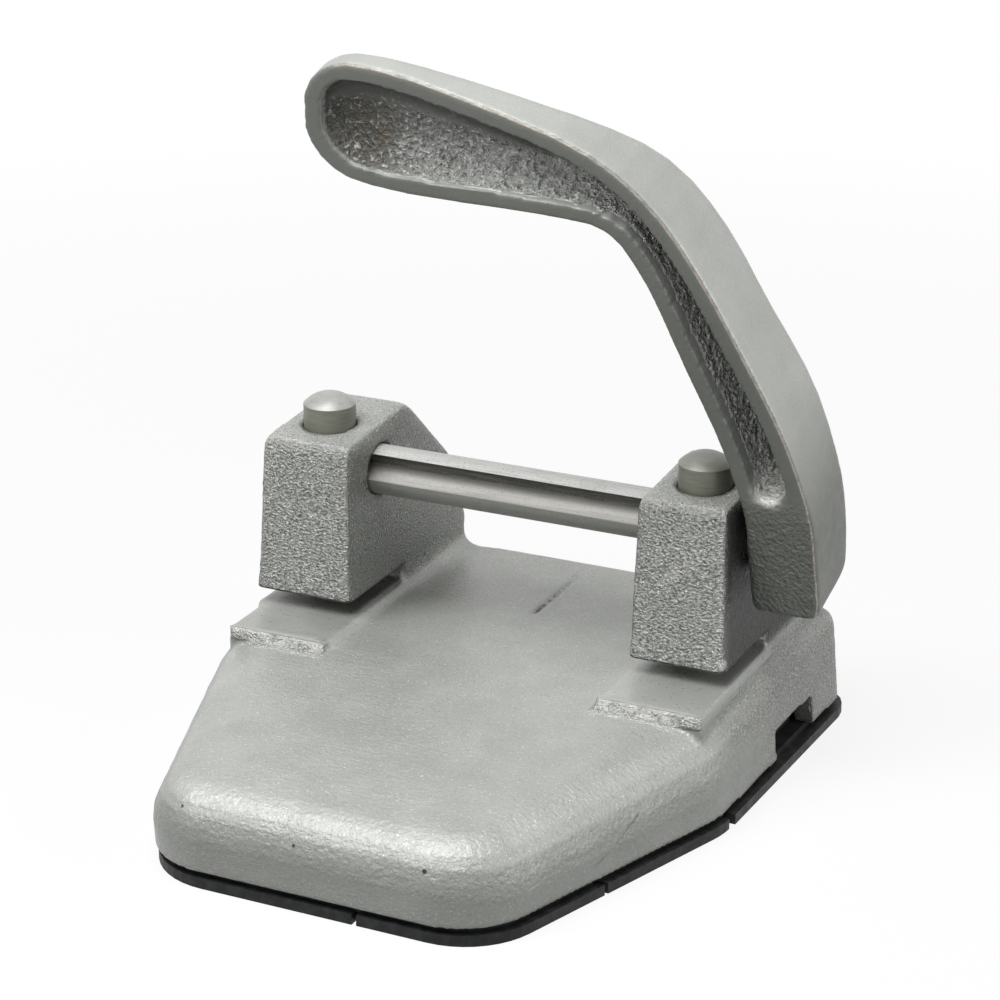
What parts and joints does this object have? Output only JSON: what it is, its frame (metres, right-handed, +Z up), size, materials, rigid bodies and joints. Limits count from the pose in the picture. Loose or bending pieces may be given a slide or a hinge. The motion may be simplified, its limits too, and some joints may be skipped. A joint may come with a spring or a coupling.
{
  "type": "two-hole desk punch",
  "caption": "Heavy cast two-hole paper punch: a tapering base with a chip tray, twin posts holding sprung punches, and a side lever on a fluted pinion shaft.",
  "frame": {"origin": "on the table, midway between the two punch axes", "axes": "+Z up, +X to the right hand of the person punching, who is on the -Y side"},
  "size_m": [0.1212, 0.1266, 0.1407],
  "materials": {
    "cast_paint": "silver-grey paint over a rough casting, satin",
    "lever_paint": "silver-grey paint over a rough casting, smoother on the back",
    "punch_steel": "turned steel",
    "shaft_steel": "drawn steel",
    "hardened_steel": "ground steel",
    "spring_steel": "oiled wire",
    "tray_plastic": "black flexible plastic"
  },
  "bodies": {
    "tray": {"chip_tray": "tray_plastic"},
    "frame": {"frame_casting": "cast_paint", "left_die_bush": "hardened_steel", "right_die_bush": "hardened_steel", "left_return_spring": "spring_steel", "right_return_spring": "spring_steel"},
    "lever_and_shaft": {"pinion_shaft": "shaft_steel", "lever": "lever_paint", "lever_pin": "hardened_steel", "thrust_washers": "shaft_steel", "shaft_clip": "spring_steel"},
    "left_punch_body": {"left_punch": "punch_steel"},
    "right_punch_body": {"right_punch": "punch_steel"}
  },
  "joints": [
    {"name": "tray_release", "type": "slide", "parent": "tray", "child": "frame", "axis": [0, 0, 1], "range_m": [0, 0.03]},
    {"name": "lever_swing", "type": "hinge", "parent": "frame", "child": "lever_and_shaft", "pos_m": [0, 0.0028, 0.0501], "axis": [1, 0, 0], "range_deg": [0, 63], "stiffness_Nm_per_rad": 0.09, "springref_deg": -57.3},
    {"name": "left_punch_slide", "type": "slide", "parent": "frame", "child": "left_punch_body", "axis": [0, 0, -1], "range_m": [0, 0.00462], "deforming": ["left_return_spring"]},
    {"name": "right_punch_slide", "type": "slide", "parent": "frame", "child": "right_punch_body", "axis": [0, 0, -1], "range_m": [0, 0.00462], "deforming": ["right_return_spring"]}
  ],
  "couplings": [
    {"joint": "left_punch_slide", "follows": "lever_swing", "m_per_rad": 0.0042},
    {"joint": "right_punch_slide", "follows": "lever_swing", "m_per_rad": 0.0042}
  ]
}
